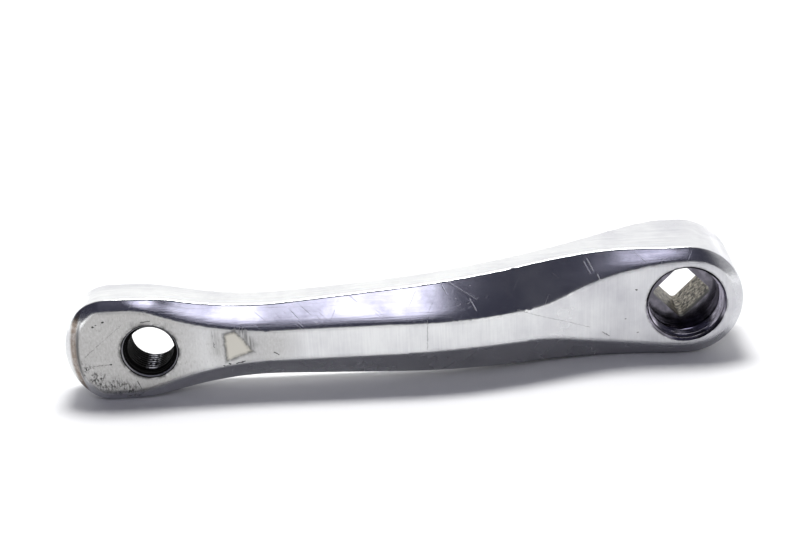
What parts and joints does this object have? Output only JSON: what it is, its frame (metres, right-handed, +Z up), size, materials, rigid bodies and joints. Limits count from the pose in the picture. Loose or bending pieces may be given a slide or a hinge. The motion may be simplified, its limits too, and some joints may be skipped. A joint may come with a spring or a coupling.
{
  "type": "bicycle crank arm",
  "caption": "Forged and polished left crank arm, set outward between boss and pedal eye, with wide bevels, a tapered square socket, a puller thread and a threaded pedal hole.",
  "frame": {"origin": "on the spindle axis, in the plane of the boss's outer face", "axes": "+X along the arm from the spindle axis to the pedal axis, +Y outboard along both hole axes, +Z up"},
  "size_m": [0.1926, 0.0403, 0.0334],
  "materials": {
    "polished_aluminium": "machine polished, finely scratched and scuffed in use"
  },
  "bodies": {
    "root": {"crank_arm": "polished_aluminium"}
  },
  "joints": []
}
